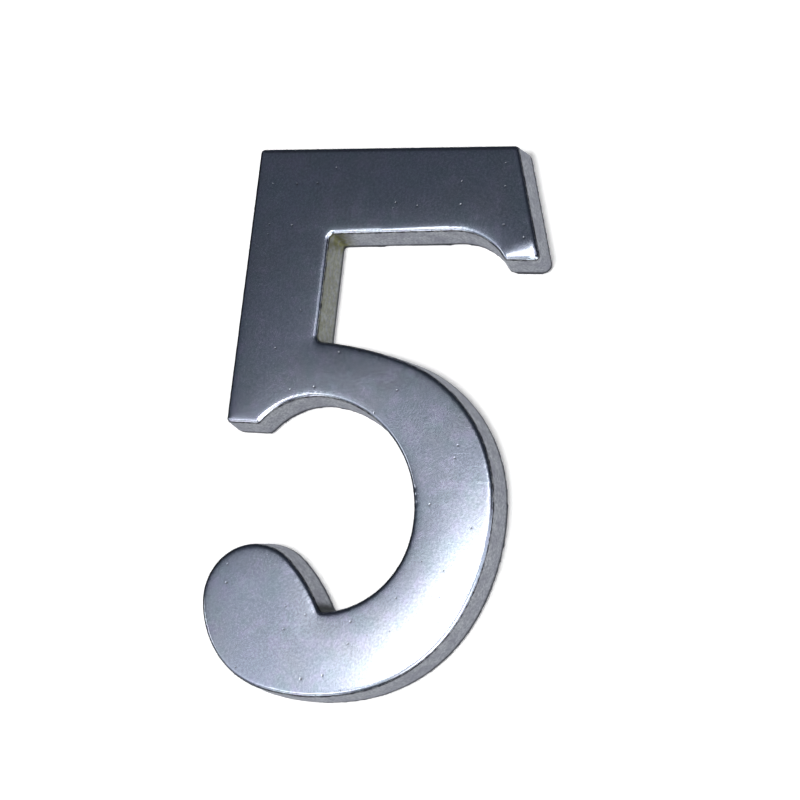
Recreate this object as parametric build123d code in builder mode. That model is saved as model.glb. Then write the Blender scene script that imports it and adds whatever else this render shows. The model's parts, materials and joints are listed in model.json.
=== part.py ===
from build123d import *
import os
from math import cos, radians, sin

# A cast metal house number, the figure five: a flat face with drafted sides and softened edges,
# held to a wall by two studs that screw into blind holes in its back.
# The origin is midway between the stud holes on the back face. X runs to the right as the
# figure is read, Z is up and the face looks towards -Y.

# Section through the casting, in mm
thickness = 6.8
draft = 7.0
face_edge_radius = 0.75

# Outline of the face in mm: x from the stem's left edge, z from the lowest point of the bowl
height = 102.4
stem_width = 16.5
foot_level = 48.8
foot_width = 6.7
bar_level = 85.5
bar_rise = 0.7
bar_run = 24.4
flag_top_width = 51.8
flag_tip = (58.0, 80.8)
serif_start = (51.4, 80.8)
serif_arc_radius = 12.5
serif_arc_turn = 46.0
bowl_level = 64.8
notch = (23.4, 15.1)

# Bowl and counter: arcs that run on smoothly, each with its radius in mm and its turn in degrees.
# A heading is the way the first arc sets off, in degrees above the horizontal.
bowl_heading = -3.0
bowl_arcs = [(69.0, 15.5), (28.0, 65.5), (39.0, 30.5), (29.0, 47.5), (40.0, 28.0), (17.0, 73.5), (10.0, 137.5)]
counter_heading = 51.0
counter_arcs = [(15.0, 56.5), (21.5, 91.0)]

# Roundings of the corners, seen from the front
crisp_corner = 0.8
soft_corner = 1.1

# Stud holes: tapping size for M4, left by a pointed drill and countersunk at the mouth
fixing_x = 9.0
fixing_spacing = 78.0
fixing_middle = 53.0
tapping_radius = 1.65
full_depth = 4.0
drill_tip = 1.0
countersink = 0.4


def direction(degrees):
    """Unit vector at an angle above the horizontal."""
    return (cos(radians(degrees)), sin(radians(degrees)))


def run_on(start, tangent, arcs, end):
    """Arcs that turn right, each tangent to the last, and a closing arc to the end point."""
    pen = start
    for radius, turn in arcs:
        arc = JernArc(pen, tangent, radius, -turn)
        pen, tangent = arc @ 1, arc % 1
    TangentArc(pen, end, tangent=tangent)


top_left = (0, height)
top_right = (flag_top_width, height)
foot_left = (0, foot_level)
foot_right = (foot_width, foot_level)
bar_corner = (stem_width, bar_level)
bar_end = (stem_width + bar_run, bar_level + bar_rise)
bowl_corner = (stem_width, bowl_level)

corners = {
    top_left: crisp_corner,
    top_right: soft_corner,
    flag_tip: crisp_corner,
    serif_start: crisp_corner,
    bar_corner: soft_corner,
    bowl_corner: soft_corner,
    notch: soft_corner,
    foot_right: crisp_corner,
    foot_left: crisp_corner,
}

face_plane = Plane(origin=(-fixing_x, -thickness, -fixing_middle), x_dir=(1, 0, 0), z_dir=(0, -1, 0))

with BuildPart() as numeral:
    # The face is drawn once and swells towards the back by the draft of its sides
    with BuildSketch(face_plane) as face:
        with BuildLine():
            Polyline(foot_right, foot_left, top_left, top_right, flag_tip, serif_start)
            underside = Line(bar_corner, bar_end)
            serif_arc = JernArc(underside @ 1, underside % 1, serif_arc_radius, -serif_arc_turn)
            Line(serif_arc @ 1, serif_start)
            Line(bar_corner, bowl_corner)
            run_on(bowl_corner, direction(bowl_heading), bowl_arcs, notch)
            run_on(foot_right, direction(counter_heading), counter_arcs, notch)
        make_face()
        for corner, radius in corners.items():
            fillet(face.vertices().sort_by_distance(corner)[0], radius)
    extrude(amount=-thickness, taper=-draft)
    fillet(numeral.faces().sort_by(Axis.Y)[0].edges(), face_edge_radius)

    for z in (-fixing_spacing / 2, fixing_spacing / 2):
        with BuildSketch(Plane.XY.offset(z)):
            with BuildLine():
                Polyline(
                    (0, 0),
                    (tapping_radius + countersink, 0),
                    (tapping_radius, -countersink),
                    (tapping_radius, -full_depth),
                    (0, -full_depth - drill_tip),
                    close=True,
                )
            make_face()
        revolve(axis=Axis((0, 0, z), (0, 1, 0)), mode=Mode.SUBTRACT)

os.makedirs("parts", exist_ok=True)
numeral.part.label = "numeral"
export_step(numeral.part, "parts/numeral.step")
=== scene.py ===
# A cast aluminium house number, the figure five, on a plain pale wall in soft studio light.

import json
from math import cos, pi, radians, sin, tan

import bmesh
import bpy
from mathutils import Euler, Matrix, Vector


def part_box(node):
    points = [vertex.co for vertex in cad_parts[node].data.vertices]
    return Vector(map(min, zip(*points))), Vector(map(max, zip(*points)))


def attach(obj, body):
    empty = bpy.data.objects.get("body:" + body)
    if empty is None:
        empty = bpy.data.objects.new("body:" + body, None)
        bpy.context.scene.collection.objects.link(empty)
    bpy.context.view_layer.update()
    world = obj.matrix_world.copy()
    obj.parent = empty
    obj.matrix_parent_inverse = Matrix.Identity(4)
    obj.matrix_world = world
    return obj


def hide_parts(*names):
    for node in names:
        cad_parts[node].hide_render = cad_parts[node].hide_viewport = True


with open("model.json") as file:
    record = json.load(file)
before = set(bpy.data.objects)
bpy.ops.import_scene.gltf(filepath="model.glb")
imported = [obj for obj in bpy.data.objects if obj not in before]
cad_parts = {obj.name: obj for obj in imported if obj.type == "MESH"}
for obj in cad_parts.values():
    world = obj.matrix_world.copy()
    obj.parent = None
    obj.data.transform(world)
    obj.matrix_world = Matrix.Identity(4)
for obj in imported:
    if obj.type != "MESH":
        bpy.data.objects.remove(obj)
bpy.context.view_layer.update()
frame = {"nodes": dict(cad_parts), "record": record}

MM = 0.001
NODE = "numeral"
low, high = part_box(NODE)
face_y, back_y = low.y, high.y

# Where the drawing of the figure starts: the stem's left edge and the lowest point of the bowl
DRAWING_X = -9.0 * MM
DRAWING_Z = -53.0 * MM


def at(x, z):
    """The point on the face at a place on the figure's drawing, in mm."""
    return Vector((DRAWING_X + x * MM, face_y, DRAWING_Z + z * MM))


def linear(hex_colour):
    """Linear colour with alpha from an sRGB hex value."""
    channels = [int(hex_colour[i : i + 2], 16) / 255 for i in (1, 3, 5)]
    return [c / 12.92 if c <= 0.04045 else ((c + 0.055) / 1.055) ** 2.4 for c in channels] + [1.0]


def add(tree, kind, inputs=(), **settings):
    """A node with its settings and its inputs, which are given by name or in their order.

    An input is a value, a socket to link from, or a node, which gives its first output in use.
    """
    node = tree.nodes.new(kind)
    for name, value in settings.items():
        setattr(node, name, value)
    sockets = [socket for socket in node.inputs if socket.enabled]
    if isinstance(inputs, dict):
        named = {socket.name: socket for socket in sockets}
        pairs = [(named[name], value) for name, value in inputs.items()]
    else:
        pairs = zip(sockets, inputs)
    for socket, value in pairs:
        if isinstance(value, bpy.types.Node):
            value = next(output for output in value.outputs if output.enabled)
        if isinstance(value, bpy.types.NodeSocket):
            tree.links.new(value, socket)
        else:
            socket.default_value = value
    return node


def link_object(name, data):
    """A new object in the scene."""
    piece = bpy.data.objects.new(name, data)
    bpy.context.scene.collection.objects.link(piece)
    return piece


def shape_object(name, shape):
    """A new object from a bmesh, which is freed."""
    mesh = bpy.data.meshes.new(name)
    shape.to_mesh(mesh)
    shape.free()
    return link_object(name, mesh)


def show_in_gloss_only(piece):
    """Hides a piece from everything but glossy reflections."""
    for ray in ("camera", "diffuse", "shadow", "transmission"):
        setattr(piece, "visible_" + ray, False)


def new_material(name):
    """An empty node material and its tree."""
    material = bpy.data.materials.new(name)
    material.use_nodes = True
    material.node_tree.nodes.clear()
    return material, material.node_tree


# Camera: the place and the lens in mm that match the photograph's edges
LENS = 76.5
SENSOR = 36.0
ROLL = radians(6.3)
camera_place = Vector((135.17, -288.4, -52.55)) * MM
camera_aim = Vector((25.37, -6.8, 1.31)) * MM


def add_camera():
    """The camera, level and then rolled about its view."""
    data = bpy.data.cameras.new("camera")
    data.lens = LENS
    data.sensor_width = SENSOR
    data.clip_start = 0.01
    data.clip_end = 50.0
    camera = link_object("camera", data)
    camera.location = camera_place
    level = (camera_aim - camera_place).to_track_quat("-Z", "Y").to_matrix().to_4x4()
    camera.rotation_mode = "QUATERNION"
    camera.rotation_quaternion = (level @ Matrix.Rotation(ROLL, 4, "Z")).to_quaternion()
    bpy.context.scene.camera = camera


# Stage: a pale wall behind the figure, seen from the front only. Its half size is in metres, and its
# glow keeps the figure's shadow soft and pale.
WALL_GAP = 0.25 * MM
WALL_HALF = 3.0
WALL_GLOW = 0.32


def make_wall():
    """Matt white paint: an even white with no gloss, and clear from behind to show the figure's back."""
    material, tree = new_material("matt white wall paint")
    paint = add(tree, "ShaderNodeBsdfDiffuse", {"Color": linear("#F4F4F4")})
    glow = add(tree, "ShaderNodeEmission", {"Color": linear("#FFFFFF"), "Strength": WALL_GLOW})
    lit = add(tree, "ShaderNodeAddShader", [paint, glow])
    clear = add(tree, "ShaderNodeBsdfTransparent")
    from_behind = add(tree, "ShaderNodeNewGeometry").outputs["Backfacing"]
    seen = add(tree, "ShaderNodeMixShader", [from_behind, lit, clear])
    add(tree, "ShaderNodeOutputMaterial", [seen])

    mesh = bpy.data.meshes.new("wall")
    y = back_y + WALL_GAP
    corners = [(x * WALL_HALF, y, z * WALL_HALF) for x, z in ((-1, -1), (1, -1), (1, 1), (-1, 1))]
    mesh.from_pydata(corners, [], [(0, 1, 2, 3)])
    mesh.materials.append(material)
    wall = link_object("wall", mesh)
    for ray in ("glossy", "diffuse", "transmission", "shadow"):
        setattr(wall, "visible_" + ray, False)


def direction(azimuth, elevation):
    """Unit vector from the figure, azimuth from straight in front towards the right, in degrees."""
    a, e = radians(azimuth), radians(elevation)
    return Vector((sin(a) * cos(e), -cos(a) * cos(e), sin(e)))


# The key lamp, which lights the wall and casts the figure's shadow: its place in degrees, its distance
# and width in metres, and how bright it makes a white card, where 1 is white
KEY_PLACE = (-6.5, -7.5)
KEY_DISTANCE = 1.0
KEY_WIDTH = 0.22
KEY_LEVEL = 0.72


def add_key_lamp():
    """A round lamp turned to the figure."""
    data = bpy.data.lights.new("key", "AREA")
    data.shape = "DISK"
    data.size = KEY_WIDTH
    data.energy = KEY_LEVEL * (pi * KEY_DISTANCE) ** 2
    key = link_object("key", data)
    key.location = direction(*KEY_PLACE) * KEY_DISTANCE
    key.rotation_mode = "QUATERNION"
    key.rotation_quaternion = (-key.location).to_track_quat("-Z", "Y")
    key.visible_glossy = False


# Softboxes with a hot middle, which only the metal's gloss sees: name, place and reach in degrees as
# seen from the figure, and peak in whites
SOFTBOX_DISTANCE = 16.0
SOFTBOX_SIDES = 48
SOFTBOXES = (
    ("softbox", (-14.4, -0.3), 8.4, 7.4),
    ("strip_softbox", (-22.0, -19.0), 11.0, 2.6),
    ("low_softbox", (-36.0, -52.0), 20.0, 1.8),
    ("low_right_softbox", (24.0, -29.0), 28.0, 4.4),
    ("high_softbox", (-6.5, 6.0), 7.5, 4.0),
    ("left_softbox", (-56.0, -8.0), 12.0, 2.2),
)


def make_softbox(name, place, reach, peak):
    """White diffusing cloth on a round frame: it glows most in its middle and fades out at its rim."""
    radius = SOFTBOX_DISTANCE * tan(radians(reach))
    material, tree = new_material("softbox cloth")
    cloth = add(tree, "ShaderNodeTexCoord").outputs["Object"]
    out = add(tree, "ShaderNodeVectorMath", [cloth], operation="LENGTH")
    inputs = [out, radius, 0.0, 0.0, peak]
    level = add(tree, "ShaderNodeMapRange", inputs, interpolation_type="SMOOTHSTEP")
    glow = add(tree, "ShaderNodeEmission", {"Color": linear("#FFFFFF"), "Strength": level})
    clear = add(tree, "ShaderNodeBsdfTransparent")
    seen = add(tree, "ShaderNodeAddShader", [glow, clear])
    add(tree, "ShaderNodeOutputMaterial", [seen])

    disc = bmesh.new()
    bmesh.ops.create_circle(disc, cap_ends=True, segments=SOFTBOX_SIDES, radius=radius)
    softbox = shape_object(name, disc)
    softbox.data.materials.append(material)
    softbox.location = direction(*place) * SOFTBOX_DISTANCE
    softbox.rotation_mode = "QUATERNION"
    softbox.rotation_quaternion = (-softbox.location).to_track_quat("Z", "Y")
    show_in_gloss_only(softbox)


# Surroundings: white, with a dark tent that closes gently over the upper left, a dark lintel above, a
# dark floor that starts gently and a dark card to the right, all open to the rear. Places are in
# degrees. Each edge has where it starts and where it is full: for tent and card in the cosine of the
# angle from their middle, for lintel and floor in height and for the rear in depth, where 1 is the
# tent's radius.
TENT_RADIUS = 20.0
TENT_ROUNDNESS = 5
TENT_PLACE = (-144.0, 56.8)
TENT_EDGE = (-0.43, -0.01)
TENT_DEEP = (0.1, 0.35)
LINTEL_EDGE = (0.235, 0.27)
LINTEL_DEEP = (0.36, 0.6)
FLOOR_EDGE = (-0.25, -0.75)
CARD_PLACE = (42.0, 30.0)
CARD_EDGE = (0.88, 0.93)
REAR_EDGE = (0.3, 0.6)


def make_tent():
    """Dark matt cloth and board on the inside of a ball: the soft dark shapes that the face mirrors."""
    material, tree = new_material("graded dark cloth")
    material.cycles.emission_sampling = "NONE"
    place = add(tree, "ShaderNodeTexCoord").outputs["Object"]
    heading = add(tree, "ShaderNodeVectorMath", [place], operation="NORMALIZE")
    parts = add(tree, "ShaderNodeSeparateXYZ", [heading]).outputs
    inputs = [heading, direction(*TENT_PLACE)]
    in_tent = add(tree, "ShaderNodeVectorMath", inputs, operation="DOT_PRODUCT")
    inputs = [heading, direction(*CARD_PLACE)]
    in_card = add(tree, "ShaderNodeVectorMath", inputs, operation="DOT_PRODUCT")
    cloth = add(tree, "ShaderNodeEmission", {"Color": linear("#4B5059")})
    deep = add(tree, "ShaderNodeEmission", {"Color": linear("#1A1C20")})
    board = add(tree, "ShaderNodeEmission", {"Color": linear("#31353C")})
    clear = add(tree, "ShaderNodeBsdfTransparent")

    seen = clear
    for across, (start, full), cover in (
        (in_tent, TENT_EDGE, cloth),
        (parts["Z"], LINTEL_EDGE, cloth),
        (parts["Z"], FLOOR_EDGE, cloth),
        (in_tent, TENT_DEEP, deep),
        (parts["Z"], LINTEL_DEEP, board),
        (in_card, CARD_EDGE, board),
        (parts["Y"], REAR_EDGE, clear),
    ):
        inputs = [across, start, full]
        share = add(tree, "ShaderNodeMapRange", inputs, interpolation_type="SMOOTHSTEP")
        seen = add(tree, "ShaderNodeMixShader", [share, seen, cover])
    add(tree, "ShaderNodeOutputMaterial", [seen])

    ball = bmesh.new()
    bmesh.ops.create_icosphere(ball, subdivisions=TENT_ROUNDNESS, radius=TENT_RADIUS)
    bmesh.ops.reverse_faces(ball, faces=ball.faces)
    tent = shape_object("dark_tent", ball)
    tent.data.materials.append(material)
    show_in_gloss_only(tent)


# How much of the white world lights matt surfaces
WORLD_FILL = 0.2


def make_world():
    """White to the camera and to gloss, with a slight blue in the gloss, and dim to all else."""
    world = bpy.data.worlds.new("white studio")
    bpy.context.scene.world = world
    world.use_nodes = True
    tree = world.node_tree
    tree.nodes.clear()
    path = add(tree, "ShaderNodeLightPath").outputs
    inputs = [path["Is Camera Ray"], path["Is Transmission Ray"]]
    straight = add(tree, "ShaderNodeMath", inputs, operation="MAXIMUM")
    seen = add(tree, "ShaderNodeMath", [straight, path["Is Glossy Ray"]], operation="MAXIMUM")
    strength = add(tree, "ShaderNodeMapRange", {"Value": seen, "To Min": WORLD_FILL, "To Max": 1.0})
    inputs = [path["Is Glossy Ray"], linear("#FFFFFF"), linear("#EFF4FF")]
    sky = add(tree, "ShaderNodeMix", inputs, data_type="RGBA")
    white = add(tree, "ShaderNodeBackground", {"Color": sky, "Strength": strength})
    add(tree, "ShaderNodeOutputWorld", [white])


# Sizes of the finish's patterns. A 240 grit belt leaves lines of 0.06 mm and moulding sand grains of
# 0.2 mm: both are drawn coarser to show
PATTERNS = {
    "belt wander": 0.8 * MM,
    "grain": 0.48 * MM,
    "face haze": 14.0 * MM,
    "violet haze": 3.0 * MM,
    "green haze": 4.0 * MM,
    # patches of the painted dark edge line, a painted reflection
    "dark edge line": 1.5 * MM,
    "sand": 0.45 * MM,
    "skin blotch": 3.0 * MM,
    "dirt": 0.9 * MM,
}
GRAIN_DEPTH = 0.003 * MM
SAND_GRAIN_DEPTH = 0.02 * MM
# Where the belt left a coarser grain, on the drawing
COARSE_PLACE = (36.0, 60.0)
COARSE_REACH = 28.0 * MM
COARSE_DEPTH = 0.0025 * MM
# Pinholes, and the share of their places that is left free
PINHOLE_SPACING = 4.2 * MM
PINHOLE_RADIUS = 0.3 * MM
PINHOLE_DEPTH = 0.014 * MM
PINHOLE_RAGGED = 0.35 * MM
PINHOLE_FREE = 0.6
SCRATCH_LENGTH = 14.0 * MM
SCRATCH_WIDTH = 0.2 * MM
SCRATCH_DEPTH = 0.001 * MM
SCRATCH_LEAN = radians(24)
# A painted contact shade: the dark line where the sides meet the wall, and the share of it that fades
FOOT_SHADE_BAND = 1.4 * MM
FOOT_SHADE_FADE = 0.6
# How far the rubbed edge wanders, as a share of the edge's turn
BELT_WANDER = 0.9
# Roughness of the as-cast skin between its sand grains and on them, of the rubbed face, of a cut
# thread, and what haze and coarse grain add to the face's
SKIN_ROUGHNESS = (0.66, 0.52)
FACE_ROUGHNESS = 0.13
CUT_ROUGHNESS = 0.3
HAZE_DULLS = 0.06
COARSE_DULLS = 0.04
# Never quite none, to divide by
TINY = 0.001


def pinhole_distance(tree, parts, grain):
    """How far a point is from the middle of the nearest pinhole, in that hole's radii.

    The holes are a few cells of a flat pattern, each with its own size and a ragged rim.
    """
    flat = add(tree, "ShaderNodeCombineXYZ", [parts["X"], parts["Z"]])
    inputs = [grain.outputs["Color"], [PINHOLE_RAGGED] * 3, flat]
    ragged = add(tree, "ShaderNodeVectorMath", inputs, operation="MULTIPLY_ADD")
    inputs = {"Vector": ragged, "Scale": 1 / PINHOLE_SPACING}
    cells = add(tree, "ShaderNodeTexVoronoi", inputs, voronoi_dimensions="2D").outputs
    chosen = add(tree, "ShaderNodeSeparateColor", [cells["Color"]])
    inputs = [chosen, PINHOLE_FREE, 1.0, TINY, PINHOLE_RADIUS / PINHOLE_SPACING]
    radius = add(tree, "ShaderNodeMapRange", inputs)
    return add(tree, "ShaderNodeMath", [cells["Distance"], radius], operation="DIVIDE")


def scratch_streaks(tree, place):
    """Noise drawn out into long thin streaks."""
    stretch = (1 / SCRATCH_LENGTH, 1 / SCRATCH_LENGTH, 1 / SCRATCH_WIDTH)
    inputs = {"Vector": place, "Rotation": Euler((0, SCRATCH_LEAN, 0)), "Scale": stretch}
    drawn_out = add(tree, "ShaderNodeMapping", inputs)
    return add(tree, "ShaderNodeTexNoise", {"Vector": drawn_out, "Scale": 1.0, "Detail": 1.0})


def finish_shares(tree, place, marks, noise):
    """How much of each mark of the finish a point has, from the mesh's marks and from noise."""
    parts = add(tree, "ShaderNodeSeparateXYZ", [place]).outputs
    in_hole = pinhole_distance(tree, parts, noise["grain"])
    streaks = scratch_streaks(tree, place)
    far = add(tree, "ShaderNodeVectorMath", [place, at(*COARSE_PLACE)], operation="DISTANCE")
    inputs = [noise["belt wander"], BELT_WANDER, marks["rubbed"]]
    reach = add(tree, "ShaderNodeMath", inputs, operation="MULTIPLY_ADD")

    # Each mark's pattern, the values where it starts and is full, and the shares there
    share = {}
    for name, pattern, start, full, least, most in (
        ("rubbed", reach, 1.04, 1.2, 0.0, 1.0),
        ("unrubbed", reach, 1.16, 1.02, 0.0, 1.0),
        ("edge", marks["rubbed"], 0.01, 0.1, 0.0, 1.0),
        # painted reflection: a near-black line along the rounded edge where the rubbing stops
        ("dark edge line", noise["dark edge line"], 0.35, 0.65, 0.1, 0.9),
        ("coarse", far, COARSE_REACH, 0.0, 0.0, 1.0),
        ("pinhole", in_hole, 1.0, 0.3, 0.0, 1.0),
        ("stain", in_hole, 2.6, 1.0, 0.0, 0.35),
        ("scratch", streaks, 0.74, 0.8, 0.0, 1.0),
        ("face haze", noise["face haze"], 0.35, 0.7, 0.0, 1.0),
        ("violet haze", noise["violet haze"], 0.45, 0.7, 0.0, 0.45),
        ("green haze", noise["green haze"], 0.45, 0.7, 0.0, 0.45),
        ("dark grain", noise["grain"], 0.5, 0.36, 0.0, 0.2),
        ("bright grain", noise["grain"], 0.5, 0.64, 0.0, 0.2),
        ("sand", noise["sand"], 0.3, 0.7, 0.0, 1.0),
        ("skin blotch", noise["skin blotch"], 0.4, 0.7, 0.0, 0.6),
        ("dirt", noise["dirt"], 0.3, 0.6, 0.35, 1.0),
        # painted shade in the notch between bowl and ball
        ("soot", marks["soot"], 0.0, 1.0, 0.0, 1.0),
        ("on side", marks["backing"], 0.7, 0.3, 0.0, 1.0),
        # painted shade: the sides darken from the face towards the back
        ("shade towards back", parts["Y"], face_y, back_y, 0.0, 0.3),
        # painted contact shade: a dark line at the foot of the sides
        ("foot shade", parts["Y"], back_y - FOOT_SHADE_BAND, back_y - (1 - FOOT_SHADE_FADE) * FOOT_SHADE_BAND, 0.0, 0.95),
    ):
        inputs = [pattern, start, full, least, most]
        share[name] = add(tree, "ShaderNodeMapRange", inputs, interpolation_type="SMOOTHSTEP")

    # The painted dark edge line lies on the edge where the rubbing stops, and dirt and the notch's
    # painted shade stay off the back
    for name, limit in (
        ("dark edge line", share["edge"]),
        ("dark edge line", share["unrubbed"]),
        ("dirt", marks["grime"]),
        ("dirt", share["on side"]),
        ("soot", share["on side"]),
        ("shade towards back", share["on side"]),
        ("foot shade", share["on side"]),
    ):
        share[name] = add(tree, "ShaderNodeMath", [share[name], limit], operation="MULTIPLY")
    return share


def metal_colour(tree, share, machined):
    """The metal's colour: each coat over the ones before it, on the rubbed face and on the skin, with
    painted shades and a painted dark edge line among the coats.
    """
    # The face's blue is partly the metal's own tint and partly a painted reflection of cool daylight
    colour = {"face": linear("#C3CAD9"), "skin": linear("#A3A4A6")}
    for surface, coat, coat_colour in (
        ("face", "face haze", "#C6CAD4"),
        ("face", "violet haze", "#C4BDD9"),
        ("face", "green haze", "#B7C9CE"),
        ("face", "dark grain", "#8F95A4"),
        ("face", "bright grain", "#ECF0FA"),
        ("face", "stain", "#A2A6B0"),
        ("face", "pinhole", "#8E9198"),
        ("skin", "sand", "#CBCBCA"),
        ("skin", "skin blotch", "#99979F"),
        # painted shade, darker towards the back
        ("skin", "shade towards back", "#9B9CA4"),
        ("skin", "dirt", "#8B8A64"),
        # painted shade in the notch
        ("skin", "soot", "#3E3F3C"),
        # painted contact shade at the foot of the sides
        ("skin", "foot shade", "#36373B"),
    ):
        inputs = [share[coat], colour[surface], linear(coat_colour)]
        colour[surface] = add(tree, "ShaderNodeMix", inputs, data_type="RGBA")
    inputs = [share["rubbed"], colour["skin"], colour["face"]]
    metal = add(tree, "ShaderNodeMix", inputs, data_type="RGBA")
    # The near-black edge line is a painted reflection of the dark surroundings; the cut thread's bright
    # colour is its own
    for coat, coat_colour in ((share["dark edge line"], "#242529"), (machined, "#D9DADC")):
        inputs = [coat, metal, linear(coat_colour)]
        metal = add(tree, "ShaderNodeMix", inputs, data_type="RGBA")
    return metal


def metal_roughness(tree, share, machined):
    """Roughness of the matt skin, the satin face and the bright cut thread."""
    between_grains, on_grains = SKIN_ROUGHNESS
    inputs = {"Value": share["sand"], "To Min": between_grains, "To Max": on_grains}
    matt = add(tree, "ShaderNodeMapRange", inputs)
    satin = FACE_ROUGHNESS
    for coat, change in ((share["violet haze"], HAZE_DULLS), (share["coarse"], COARSE_DULLS)):
        satin = add(tree, "ShaderNodeMath", [coat, change, satin], operation="MULTIPLY_ADD")
    cast = add(tree, "ShaderNodeMix", [share["rubbed"], matt, satin])
    return add(tree, "ShaderNodeMix", [machined, cast, CUT_ROUGHNESS])


def metal_relief(tree, share, noise):
    """The fine relief of the face and of the skin, its heights in metres."""
    inputs = [noise["grain"], share["coarse"]]
    coarse_grain = add(tree, "ShaderNodeMath", inputs, operation="MULTIPLY")
    relief = {"face": 0.0, "skin": 0.0}
    for surface, pattern, depth in (
        ("face", noise["grain"], GRAIN_DEPTH),
        ("face", coarse_grain, COARSE_DEPTH),
        ("face", share["pinhole"], -PINHOLE_DEPTH),
        ("face", share["scratch"], -SCRATCH_DEPTH),
        ("skin", noise["sand"], SAND_GRAIN_DEPTH),
    ):
        inputs = [pattern, depth, relief[surface]]
        relief[surface] = add(tree, "ShaderNodeMath", inputs, operation="MULTIPLY_ADD")
    height = add(tree, "ShaderNodeMix", [share["rubbed"], relief["skin"], relief["face"]])
    return add(tree, "ShaderNodeBump", {"Height": height, "Distance": 1.0, "Strength": 1.0})


def cast_aluminium():
    """Sand-cast aluminium, its face rubbed on a fine belt and waxed.

    The rubbed face is a satin mirror with a fine grain, faint violet and green hazes, a few pinholes
    and stray scratches; its blue is partly its own tint and partly a painted reflection of cool
    daylight.
    A near-black line painted along the rounded edge where the rubbing stops stands in for a dark
    reflection. The sides and the back keep the matt grey skin of the sand, with old wax and dirt in the
    inner corner and down the stem, painted shade in the notch, painted shade that darkens the sides
    towards the back and a painted contact shade line at the foot.
    """
    material, tree = new_material("sand-cast aluminium, rubbed face")
    place = add(tree, "ShaderNodeTexCoord").outputs["Object"]
    marks = {}
    for name in ("rubbed", "grime", "soot", "backing", "machined"):
        marks[name] = add(tree, "ShaderNodeAttribute", attribute_name=name).outputs["Fac"]
    noise = {}
    for name, size in PATTERNS.items():
        inputs = {"Vector": place, "Scale": 1 / size, "Detail": 2.0, "Roughness": 0.6}
        noise[name] = add(tree, "ShaderNodeTexNoise", inputs)
    share = finish_shares(tree, place, marks, noise)
    inputs = {
        "Base Color": metal_colour(tree, share, marks["machined"]),
        "Metallic": 1.0,
        "Roughness": metal_roughness(tree, share, marks["machined"]),
        "Normal": metal_relief(tree, share, noise),
    }
    shader = add(tree, "ShaderNodeBsdfPrincipled", inputs)
    add(tree, "ShaderNodeOutputMaterial", [shader])
    return material


# The casting's mesh: even squares, halved in a band along the rounded front edge
VOXEL = 0.38 * MM
EDGE_BAND = 0.85 * MM
# How nearly a face points straight forwards to count as flat, and the bend in radians of a sharp edge
FLAT = 0.985
SHARP = 1.0
# How near the sharp back edge a point moves on to it, how much wider that edge is eased, and how
# often its points and the crown of the face are blurred
EDGE_REACH = 0.6 * VOXEL
EASED_WIDTH = 5.0
EDGE_BLURS = 3
CROWN_BLURS = 12
# Leaves a point's depth out
UPRIGHT = Vector((1, 0, 1))

# Places on the drawing: the dirty inner side of the stem from its corner down, the worn end of the
# flag, and the notch between bowl and ball
PLACES = {
    "Dirt Start": (16.5, 85.5),
    "Dirt End": (16.5, 64.8),
    "Wear Start": (51.0, 79.0),
    "Wear End": (60.5, 83.2),
    "Notch": (23.6, 15.3),
}

# Stud holes: tapping size and place from the record, the rest as drawn
studs = next(mount for mount in frame["record"]["mounts"] if mount["name"] == "studs")
TAP_RADIUS = studs["dims"]["hole_r_mm"] * MM
STUD_SPACING = studs["dims"]["spacing_y_mm"] * MM
FULL_DEPTH = 4.0 * MM
DRILL_TIP = 1.0 * MM
COUNTERSINK = 0.4 * MM
DRILL_STEPS = 48
# Spare room round a hole's mouth
HOLE_ROOM = 0.05 * MM
# M4 coarse thread
THREAD_RADIUS = 2.0 * MM
THREAD_PITCH = 0.7 * MM
THREAD_STEPS = 24
# The ridge's half width, as a share of the pitch, and how far it sinks into the drill, of its height
THREAD_HALF = 0.42
THREAD_OVERLAP = 0.4


def blank_casting():
    """A merged copy of the casting with its stud holes closed."""
    shape = bmesh.new()
    shape.from_mesh(frame["nodes"][NODE].data)
    bmesh.ops.remove_doubles(shape, verts=shape.verts, dist=TINY * MM)
    middles = [Vector((0, back_y, side * STUD_SPACING / 2)) for side in (-1, 1)]
    reach = TAP_RADIUS + COUNTERSINK + HOLE_ROOM

    def in_hole(face):
        near = all(any((v.co - m).xz.length < reach for m in middles) for v in face.verts)
        on_back = all(v.co.y > back_y - TINY * MM for v in face.verts)
        on_front = all(v.co.y < face_y + TINY * MM for v in face.verts)
        return near and not on_back and not on_front

    bmesh.ops.delete(shape, geom=[f for f in shape.faces if in_hole(f)], context="FACES")
    bmesh.ops.delete(shape, geom=[v for v in shape.verts if not v.link_faces], context="VERTS")
    bmesh.ops.holes_fill(shape, edges=[e for e in shape.edges if e.is_boundary])
    return shape_object("blank_casting", shape)


def evaluated_mesh(piece):
    """The plain mesh of a piece with its modifiers worked out."""
    graph = bpy.context.evaluated_depsgraph_get()
    return bpy.data.meshes.new_from_object(piece.evaluated_get(graph))


def even_casting(blank):
    """The blank in even squares, with finer ones where the front edge rounds over."""
    even = link_object("even_casting", blank.data)
    remesh = even.modifiers.new("even", "REMESH")
    remesh.mode = "VOXEL"
    remesh.voxel_size = VOXEL
    mesh = evaluated_mesh(even)
    even.modifiers.remove(remesh)

    shape = bmesh.new()
    shape.from_mesh(mesh)
    in_front = [f for f in shape.faces if f.calc_center_median().y < face_y + EDGE_BAND]
    rounded = [f for f in in_front if f.normal.y > -FLAT]
    edges = list({edge for face in rounded for edge in face.edges})
    bmesh.ops.subdivide_edges(shape, edges=edges, cuts=1, use_grid_fill=True)
    bmesh.ops.triangulate(shape, faces=[f for f in shape.faces if len(f.verts) > 4])
    shape.to_mesh(mesh)
    shape.free()
    even.data = mesh
    return even


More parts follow.
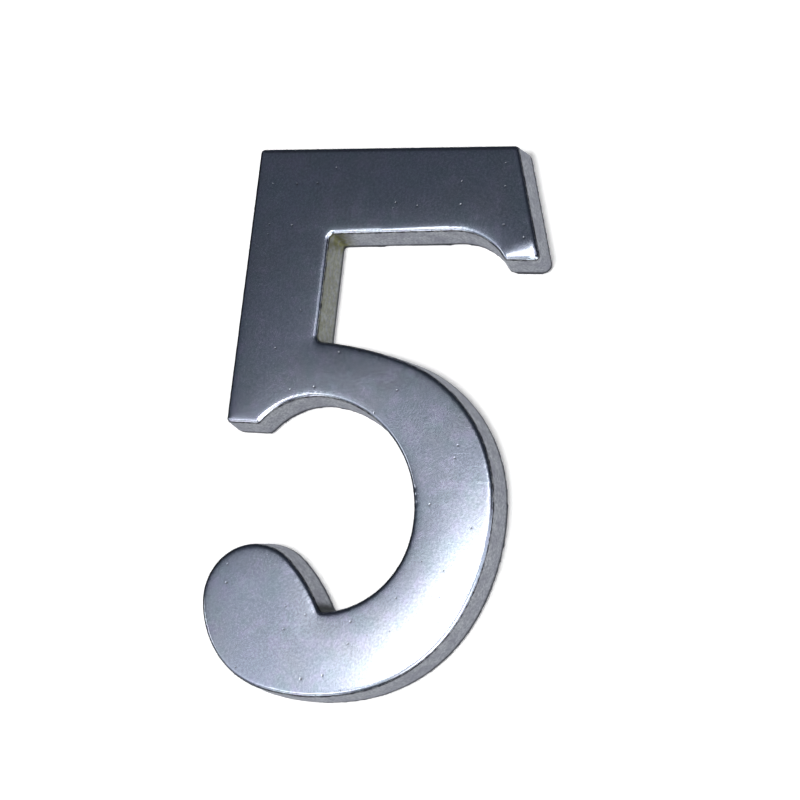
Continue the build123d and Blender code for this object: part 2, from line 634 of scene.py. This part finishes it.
def new_tree(name, inputs):
    """A geometry tree that takes and gives a geometry, with its other inputs by name and kind."""
    tree = bpy.data.node_groups.new(name, "GeometryNodeTree")
    for label, kind in [("Geometry", "Geometry"), *inputs]:
        tree.interface.new_socket(label, in_out="INPUT", socket_type="NodeSocket" + kind)
    tree.interface.new_socket("Geometry", in_out="OUTPUT", socket_type="NodeSocketGeometry")
    return tree, add(tree, "NodeGroupInput").outputs


def end_tree(tree, geometry, material):
    """Closes a tree with plain geometry that carries its material."""
    real = add(tree, "GeometryNodeRealizeInstances", [geometry])
    painted = add(tree, "GeometryNodeSetMaterial", {"Geometry": real, "Material": material})
    add(tree, "NodeGroupOutput", [painted])


def run_tree(piece, tree, values):
    """Works out a tree on a piece with its named inputs, and gives the plain mesh to the piece."""
    modifier = piece.modifiers.new(tree.name, "NODES")
    modifier.node_group = tree
    for item in tree.interface.items_tree:
        if item.in_out == "INPUT" and item.name in values:
            modifier[item.identifier] = values[item.name]
    mesh = evaluated_mesh(piece)
    piece.modifiers.remove(modifier)
    piece.data = mesh


def lay_on_casting(tree, geometry, casting, edge_reach):
    """The even mesh laid on the casting, its points next to the sharp back edge on that edge.

    The back edge is then eased by a blur that fades with the distance from it.
    """
    place = add(tree, "GeometryNodeInputPosition")
    nearest = add(tree, "GeometryNodeProximity", [casting], target_element="FACES")
    laid = add(tree, "GeometryNodeSetPosition", {"Geometry": geometry, "Position": nearest})
    bend = add(tree, "GeometryNodeInputMeshEdgeAngle").outputs["Unsigned Angle"]
    gentle = add(tree, "ShaderNodeMath", [bend, SHARP], operation="LESS_THAN")
    sharp = add(tree, "GeometryNodeDeleteGeometry", [casting, gentle], domain="EDGE", mode="EDGE_FACE")
    edge = add(tree, "GeometryNodeProximity", [sharp], target_element="EDGES").outputs
    beside_edge = add(tree, "ShaderNodeMath", [edge["Distance"], edge_reach], operation="LESS_THAN")
    laid = add(tree, "GeometryNodeSetPosition", [laid, beside_edge, edge["Position"]])
    blurred = add(tree, "GeometryNodeBlurAttribute", [place, EDGE_BLURS], data_type="FLOAT_VECTOR")
    eased_reach = add(tree, "ShaderNodeMath", [edge_reach, EASED_WIDTH], operation="MULTIPLY")
    inputs = [edge["Distance"], eased_reach, 0.0]
    easing = add(tree, "ShaderNodeMapRange", inputs, interpolation_type="SMOOTHSTEP")
    eased = add(tree, "ShaderNodeMix", [easing, place, blurred], data_type="VECTOR")
    return add(tree, "GeometryNodeSetPosition", {"Geometry": laid, "Position": eased})


def skin_distances(tree, given, casting, normal_y):
    """How far a point is from the face's rim and, seen upright, from the places of wear and dirt."""
    is_face = add(tree, "ShaderNodeMath", [normal_y, -FLAT], operation="LESS_THAN")
    sides = add(tree, "GeometryNodeDeleteGeometry", [casting, is_face], domain="FACE")
    rim = add(tree, "GeometryNodeProximity", [sides], target_element="FACES")
    far = {"rim": rim.outputs["Distance"]}
    place = add(tree, "GeometryNodeInputPosition")
    upright = add(tree, "ShaderNodeVectorMath", [place, UPRIGHT], operation="MULTIPLY")
    for name in ("Dirt", "Wear"):
        ends = [given[name + " Start"], given[name + " End"]]
        line = add(tree, "GeometryNodeCurvePrimitiveLine", ends)
        edge = add(tree, "GeometryNodeCurveToMesh", [line])
        inputs = {"Geometry": edge, "Sample Position": upright}
        along = add(tree, "GeometryNodeProximity", inputs, target_element="EDGES")
        far[name] = along.outputs["Distance"]
    for name in ("Dirt Start", "Notch"):
        far[name] = add(tree, "ShaderNodeVectorMath", [upright, given[name]], operation="DISTANCE")
    return far


def face_drop(tree, given, far):
    """How far the face falls away towards its rim, and more at the worn end of the flag."""
    drop = 0.0
    for name, distance, blurs in (
        ("Crown", far["rim"], CROWN_BLURS),
        ("Rim", far["rim"], 0),
        ("Wear", far["Wear"], 0),
    ):
        near = add(tree, "ShaderNodeMapRange", [distance, 0.0, given[name + " Reach"], 1.0, 0.0])
        curved = add(tree, "ShaderNodeMath", [near, near], operation="MULTIPLY")
        curved = add(tree, "GeometryNodeBlurAttribute", [curved, blurs])
        inputs = [curved, given[name + " Drop"], drop]
        drop = add(tree, "ShaderNodeMath", inputs, operation="MULTIPLY_ADD")
    return drop


def skin_marks(tree, given, far, normal_y):
    """The marks that the finish reads, by name, and how much of a point is face."""
    marks = {}
    # Each mark's measure, the values where it starts and is full, and its share there
    for name, measure, start, full, most in (
        ("rubbed", normal_y, -0.3, -0.95, 1.0),
        ("backing", normal_y, 0.85, 0.95, 1.0),
        ("grime", far["Dirt"], given["Dirt Reach"], 0.0, 0.65),
        ("corner", far["Dirt Start"], given["Corner Reach"], 0.0, 1.3),
        # painted shade round the notch
        ("soot", far["Notch"], given["Notch Shade Reach"], 0.0, 1.2),
        ("face", normal_y, -0.75, -0.98, 1.0),
    ):
        inputs = [measure, start, full, 0.0, most]
        marks[name] = add(tree, "ShaderNodeMapRange", inputs, interpolation_type="SMOOTHSTEP")
    inputs = [marks["grime"], marks.pop("corner")]
    marks["grime"] = add(tree, "ShaderNodeMath", inputs, operation="MAXIMUM")
    return marks, marks.pop("face")


def skin_tree():
    """Lays an even mesh on the casting, crowns its face and roughens it as sand and belt leave it."""
    lengths = (
        "Face Level",
        "Back Level",
        "Edge Reach",
        "Crown Drop",
        "Crown Reach",
        "Rim Drop",
        "Rim Reach",
        "Wear Drop",
        "Wear Reach",
        "Sand Depth",
        "Sand Size",
        "Belt Depth",
        "Belt Size",
        "Dirt Reach",
        "Corner Reach",
        "Notch Shade Reach",
    )
    inputs = [("Casting", "Object"), *((name, "Float") for name in lengths)]
    inputs += [*((name, "Vector") for name in PLACES), ("Metal", "Material")]
    tree, given = new_tree("cast skin", inputs)
    casting = add(tree, "GeometryNodeObjectInfo", {"Object": given["Casting"]}).outputs["Geometry"]
    laid = lay_on_casting(tree, given["Geometry"], casting, given["Edge Reach"])

    place = add(tree, "GeometryNodeInputPosition")
    normal = add(tree, "GeometryNodeInputNormal")
    normal_y = add(tree, "ShaderNodeSeparateXYZ", [normal]).outputs["Y"]
    far = skin_distances(tree, given, casting, normal_y)
    marks, on_face = skin_marks(tree, given, far, normal_y)
    named = laid
    for name, value in marks.items():
        inputs = {"Geometry": named, "Name": name, "Value": value}
        named = add(tree, "GeometryNodeStoreNamedAttribute", inputs, data_type="FLOAT", domain="POINT")

    # The face falls back, and nothing falls at the back itself
    y = add(tree, "ShaderNodeSeparateXYZ", [place]).outputs["Y"]
    height = add(tree, "ShaderNodeMapRange", [y, given["Back Level"], given["Face Level"]])
    fall = add(tree, "ShaderNodeMath", [face_drop(tree, given, far), height], operation="MULTIPLY")
    fall = add(tree, "ShaderNodeCombineXYZ", {"Y": fall})

    # Unevenness left by the sand, and by the belt on the face
    waves = []
    for name in ("Sand", "Belt"):
        scale = add(tree, "ShaderNodeMath", [1.0, given[name + " Size"]], operation="DIVIDE")
        wave = add(tree, "ShaderNodeTexNoise", {"Vector": place, "Scale": scale, "Detail": 1.5})
        waves.append(add(tree, "ShaderNodeMath", [wave, given[name + " Depth"]], operation="MULTIPLY"))
    depth = add(tree, "ShaderNodeMix", [on_face, *waves])
    depth = add(tree, "ShaderNodeMath", [depth, -1.0], operation="MULTIPLY")
    inward = add(tree, "ShaderNodeVectorMath", {"Vector": normal, "Scale": depth}, operation="SCALE")
    offset = add(tree, "ShaderNodeVectorMath", [inward, fall], operation="ADD")
    uneven = add(tree, "GeometryNodeSetPosition", {"Geometry": named, "Offset": offset})

    # Nothing may stand outside the box of the solid
    box = add(tree, "GeometryNodeBoundBox", [casting]).outputs
    kept = add(tree, "ShaderNodeVectorMath", [place, box["Min"]], operation="MAXIMUM")
    kept = add(tree, "ShaderNodeVectorMath", [kept, box["Max"]], operation="MINIMUM")
    kept = add(tree, "GeometryNodeSetPosition", {"Geometry": uneven, "Position": kept})
    smooth = add(tree, "GeometryNodeSetShadeSmooth", [kept])
    end_tree(tree, smooth, given["Metal"])
    return tree


def make_drill():
    """The solid that a pointed drill and a countersink take out, its tip up the Z axis."""
    mouth = TAP_RADIUS + COUNTERSINK
    profile = [
        (0.0, -COUNTERSINK),
        (mouth, -COUNTERSINK),
        (mouth, 0.0),
        (TAP_RADIUS, COUNTERSINK),
        (TAP_RADIUS, FULL_DEPTH),
        (0.0, FULL_DEPTH + DRILL_TIP),
    ]
    shape = bmesh.new()
    points = [shape.verts.new((radius, 0, z)) for radius, z in profile]
    edges = [shape.edges.new(pair) for pair in zip(points, points[1:])]
    turn = {"axis": (0, 0, 1), "angle": 2 * pi, "steps": DRILL_STEPS, "use_merge": True}
    bmesh.ops.spin(shape, geom=points + edges, **turn)
    bmesh.ops.remove_doubles(shape, verts=shape.verts, dist=TINY * MM)
    bmesh.ops.recalc_face_normals(shape, faces=shape.faces)
    return shape_object("drill", shape)


def tapping_tree():
    """Drills the stud holes and cuts their thread."""
    lengths = ("Spacing", "Level", "Tap Radius", "Thread Radius", "Pitch", "Depth")
    inputs = [("Drill", "Object"), *((name, "Float") for name in lengths), ("Metal", "Material")]
    tree, given = new_tree("tapped stud holes", inputs)
    drill = add(tree, "GeometryNodeObjectInfo", {"Object": given["Drill"]}).outputs["Geometry"]

    # The thread is a ridge that runs round the drill in a helix
    turns = add(tree, "ShaderNodeMath", [given["Depth"], given["Pitch"]], operation="DIVIDE")
    inputs = {
        "Resolution": THREAD_STEPS,
        "Rotations": turns,
        "Start Radius": given["Tap Radius"],
        "End Radius": given["Tap Radius"],
        "Height": given["Depth"],
    }
    helix = add(tree, "GeometryNodeCurveSpiral", inputs)
    inputs = [given["Thread Radius"], given["Tap Radius"]]
    rise = add(tree, "ShaderNodeMath", inputs, operation="SUBTRACT")
    root = add(tree, "ShaderNodeMath", [rise, -THREAD_OVERLAP], operation="MULTIPLY")
    half = add(tree, "ShaderNodeMath", [given["Pitch"], THREAD_HALF], operation="MULTIPLY")
    minus_half = add(tree, "ShaderNodeMath", [half, -1.0], operation="MULTIPLY")
    crest = add(tree, "ShaderNodeCombineXYZ", {"X": rise})
    upper = add(tree, "ShaderNodeCombineXYZ", [root, half])
    lower = add(tree, "ShaderNodeCombineXYZ", [root, minus_half])
    corners = {"Point 1": crest, "Point 2": upper, "Point 3": lower, "Point 4": lower}
    section = add(tree, "GeometryNodeCurvePrimitiveQuadrilateral", corners, mode="POINTS")
    inputs = {"Curve": helix, "Profile Curve": section, "Fill Caps": True}
    ridge = add(tree, "GeometryNodeCurveToMesh", inputs)
    tap = add(tree, "GeometryNodeMeshBoolean", operation="UNION", solver="MANIFOLD")
    for part in (drill, ridge.outputs[0]):
        tree.links.new(part, tap.inputs["Mesh 2"])
    inputs = {"Geometry": tap, "Name": "machined", "Value": 1.0}
    bright = add(tree, "GeometryNodeStoreNamedAttribute", inputs, data_type="FLOAT", domain="FACE")

    # One tap at each stud, turned to bore into the back
    lowest = add(tree, "ShaderNodeMath", [given["Spacing"], -0.5], operation="MULTIPLY")
    low_end = add(tree, "ShaderNodeCombineXYZ", {"Y": given["Level"], "Z": lowest})
    step = add(tree, "ShaderNodeCombineXYZ", {"Z": given["Spacing"]})
    inputs = {"Count": 2, "Start Location": low_end, "Offset": step}
    places = add(tree, "GeometryNodeMeshLine", inputs)
    inputs = {"Points": places, "Instance": bright, "Rotation": Euler((pi / 2, 0, 0))}
    taps = add(tree, "GeometryNodeInstanceOnPoints", inputs)
    taps = add(tree, "GeometryNodeRealizeInstances", [taps])
    inputs = {"Mesh 1": given["Geometry"], "Mesh 2": taps}
    cut = add(tree, "GeometryNodeMeshBoolean", inputs, operation="DIFFERENCE", solver="MANIFOLD")
    end_tree(tree, cut, given["Metal"])
    return tree


def make_figure():
    """The figure's casting with its skin, rubbed face and tapped stud holes, as one plain mesh."""
    blank = blank_casting()
    drill = make_drill()
    figure = even_casting(blank)
    figure.name = "cast_figure"
    metal = cast_aluminium()
    skin = {
        "Casting": blank,
        "Face Level": face_y,
        "Back Level": back_y,
        "Edge Reach": EDGE_REACH,
        "Crown Drop": 0.066 * MM,
        "Crown Reach": 6.7 * MM,
        "Rim Drop": 0.027 * MM,
        "Rim Reach": 1.05 * MM,
        "Wear Drop": 0.25 * MM,
        "Wear Reach": 3.5 * MM,
        "Sand Depth": 0.05 * MM,
        "Sand Size": 1.6 * MM,
        "Belt Depth": 0.01 * MM,
        "Belt Size": 7.0 * MM,
        "Dirt Reach": 2.5 * MM,
        "Corner Reach": 5.0 * MM,
        "Notch Shade Reach": 3.0 * MM,
        "Metal": metal,
    }
    for name, place in PLACES.items():
        skin[name] = at(*place) * UPRIGHT
    tapping = {
        "Drill": drill,
        "Spacing": STUD_SPACING,
        "Level": back_y,
        "Tap Radius": TAP_RADIUS,
        "Thread Radius": THREAD_RADIUS,
        "Pitch": THREAD_PITCH,
        "Depth": FULL_DEPTH,
        "Metal": metal,
    }
    run_tree(figure, skin_tree(), skin)
    run_tree(figure, tapping_tree(), tapping)
    bpy.data.objects.remove(blank)
    bpy.data.objects.remove(drill)
    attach(figure, "root")
    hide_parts(NODE)


add_camera()
make_wall()
add_key_lamp()
for softbox in SOFTBOXES:
    make_softbox(*softbox)
make_tent()
make_world()
bpy.context.scene.view_settings.view_transform = "Standard"
make_figure()
